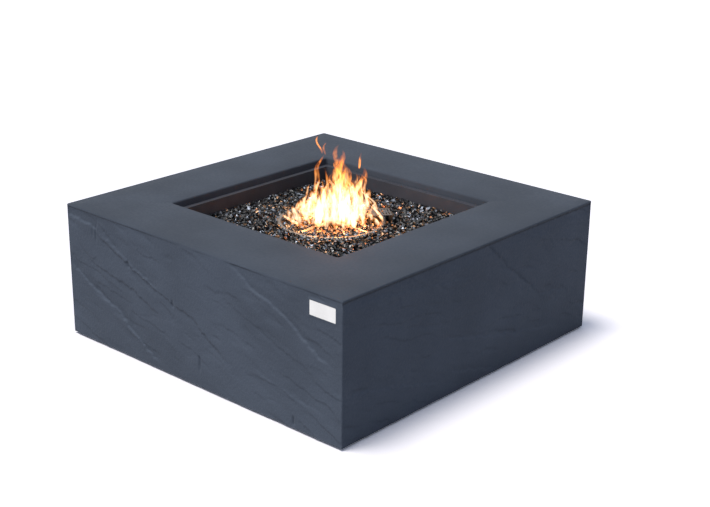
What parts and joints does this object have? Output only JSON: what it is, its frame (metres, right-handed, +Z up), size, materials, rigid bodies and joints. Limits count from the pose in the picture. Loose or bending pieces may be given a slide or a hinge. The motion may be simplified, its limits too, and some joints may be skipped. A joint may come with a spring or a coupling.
{
  "type": "gas fire pit",
  "caption": "Square low cast-concrete gas fire pit with slate-textured sides, drop-in burner pan, round ring burner in black fire glass and a recessed rear control tray.",
  "frame": {"origin": "on the floor, at the centre of the square footprint", "axes": "+Z up, -Y is the front face with the badge plate, +Y is the back face with the control tray"},
  "size_m": [1.016, 1.016, 0.38],
  "materials": {
    "cast_concrete": "slate-textured cast concrete, satin sealer",
    "badge_steel": "brushed",
    "zinc_steel": "zinc plated",
    "frame_paint": "black powder coat",
    "pan_coat": "black heat-resistant coat",
    "stainless": "heat-tinted stainless",
    "tray_steel": "brushed stainless",
    "brass": "machined",
    "hose_steel": "corrugated stainless",
    "aluminium_tube": "drawn",
    "copper_lead": "copper capillary",
    "lead_jacket": "matt silicone jacket",
    "ceramic": "glazed steatite",
    "black_plastic": "matt",
    "knob_metal": "satin",
    "spring_steel": "drawn wire",
    "battery_wrap": "plain wrap",
    "fire_glass": "black crushed fire glass"
  },
  "bodies": {
    "fire_pit": {"air_mixer": "brass", "badge_plate": "badge_steel", "base_frame": "frame_paint", "body_shell": "cast_concrete", "bracket_screws": "zinc_steel", "burner_elbow": "brass", "burner_hose": "hose_steel", "burner_nipple": "zinc_steel", "burner_pan": "pan_coat", "burner_ring": "stainless", "button_spring": "spring_steel", "control_tray": "tray_steel", "electrode_insulator": "ceramic", "fire_glass_bed": "fire_glass", "foot_lock_nuts": "zinc_steel", "frame_bolts": "zinc_steel", "gas_jet": "brass", "guard_screws": "zinc_steel", "hose_nuts": "brass", "igniter_battery": "battery_wrap", "igniter_bezel": "black_plastic", "igniter_body": "black_plastic", "igniter_bracket": "stainless", "igniter_guard": "stainless", "igniter_nut": "zinc_steel", "ignition_lead": "lead_jacket", "inlet_fitting": "brass", "inlet_nut": "brass", "inlet_tube": "aluminium_tube", "inlet_tube_nuts": "brass", "jet_holder": "brass", "magnet_unit": "zinc_steel", "pan_lock_nuts": "zinc_steel", "spark_electrode": "stainless", "thermocouple_lead": "copper_lead", "thermocouple_nut": "brass", "thermocouple_probe": "stainless", "tray_screws": "zinc_steel", "valve_body": "brass", "valve_bonnet": "brass", "valve_screws": "zinc_steel"},
    "air_shutter": {"air_shutter": "zinc_steel", "shutter_screw": "zinc_steel"},
    "valve_rotor": {"valve_plug": "brass", "stem_spring": "spring_steel"},
    "knob": {"control_knob": "knob_metal", "valve_stem": "zinc_steel"},
    "igniter_button": {"igniter_button": "black_plastic"},
    "foot_pad_front_left": {"foot_pad_front_left": "zinc_steel"},
    "foot_stud_front_left": {"foot_stud_front_left": "zinc_steel"},
    "foot_pad_front_right": {"foot_pad_front_right": "zinc_steel"},
    "foot_stud_front_right": {"foot_stud_front_right": "zinc_steel"},
    "foot_pad_back_left": {"foot_pad_back_left": "zinc_steel"},
    "foot_stud_back_left": {"foot_stud_back_left": "zinc_steel"},
    "foot_pad_back_right": {"foot_pad_back_right": "zinc_steel"},
    "foot_stud_back_right": {"foot_stud_back_right": "zinc_steel"}
  },
  "joints": [
    {"name": "knob_turn", "type": "hinge", "parent": "fire_pit", "child": "valve_rotor", "pos_m": [-0.18, 0.43, 0.205], "axis": [0, 1, 0], "range_deg": [0, 180]},
    {"name": "knob_push", "type": "slide", "parent": "valve_rotor", "child": "knob", "axis": [0, -1, 0], "range_m": [0, 0.0035], "stiffness_N_per_m": 900, "springref_m": -0.004, "deforming": ["stem_spring"]},
    {"name": "igniter_push", "type": "slide", "parent": "fire_pit", "child": "igniter_button", "axis": [0, -1, 0], "range_m": [0, 0.0035], "stiffness_N_per_m": 500, "springref_m": -0.004, "deforming": ["button_spring"]},
    {"name": "shutter_turn", "type": "hinge", "parent": "fire_pit", "child": "air_shutter", "pos_m": [0, 0.0496, 0.1925], "axis": [0, 1, 0], "range_deg": [0, 45]},
    {"name": "foot_drop_front_left", "type": "slide", "parent": "fire_pit", "child": "foot_pad_front_left", "axis": [0, 0, -1], "range_m": [0, 0.009]},
    {"name": "foot_turn_front_left", "type": "hinge", "parent": "foot_pad_front_left", "child": "foot_stud_front_left", "pos_m": [-0.44, -0.44, 0.03], "axis": [0, 0, -1], "range_deg": [0, 2160]},
    {"name": "foot_drop_front_right", "type": "slide", "parent": "fire_pit", "child": "foot_pad_front_right", "axis": [0, 0, -1], "range_m": [0, 0.009]},
    {"name": "foot_turn_front_right", "type": "hinge", "parent": "foot_pad_front_right", "child": "foot_stud_front_right", "pos_m": [0.44, -0.44, 0.03], "axis": [0, 0, -1], "range_deg": [0, 2160]},
    {"name": "foot_drop_back_left", "type": "slide", "parent": "fire_pit", "child": "foot_pad_back_left", "axis": [0, 0, -1], "range_m": [0, 0.009]},
    {"name": "foot_turn_back_left", "type": "hinge", "parent": "foot_pad_back_left", "child": "foot_stud_back_left", "pos_m": [-0.44, 0.44, 0.03], "axis": [0, 0, -1], "range_deg": [0, 2160]},
    {"name": "foot_drop_back_right", "type": "slide", "parent": "fire_pit", "child": "foot_pad_back_right", "axis": [0, 0, -1], "range_m": [0, 0.009]},
    {"name": "foot_turn_back_right", "type": "hinge", "parent": "foot_pad_back_right", "child": "foot_stud_back_right", "pos_m": [0.44, 0.44, 0.03], "axis": [0, 0, -1], "range_deg": [0, 2160]}
  ],
  "couplings": [
    {"joint": "foot_turn_front_left", "follows": "foot_drop_front_left", "rad_per_m": 4188.8},
    {"joint": "foot_turn_front_right", "follows": "foot_drop_front_right", "rad_per_m": 4188.8},
    {"joint": "foot_turn_back_left", "follows": "foot_drop_back_left", "rad_per_m": 4188.8},
    {"joint": "foot_turn_back_right", "follows": "foot_drop_back_right", "rad_per_m": 4188.8}
  ]
}
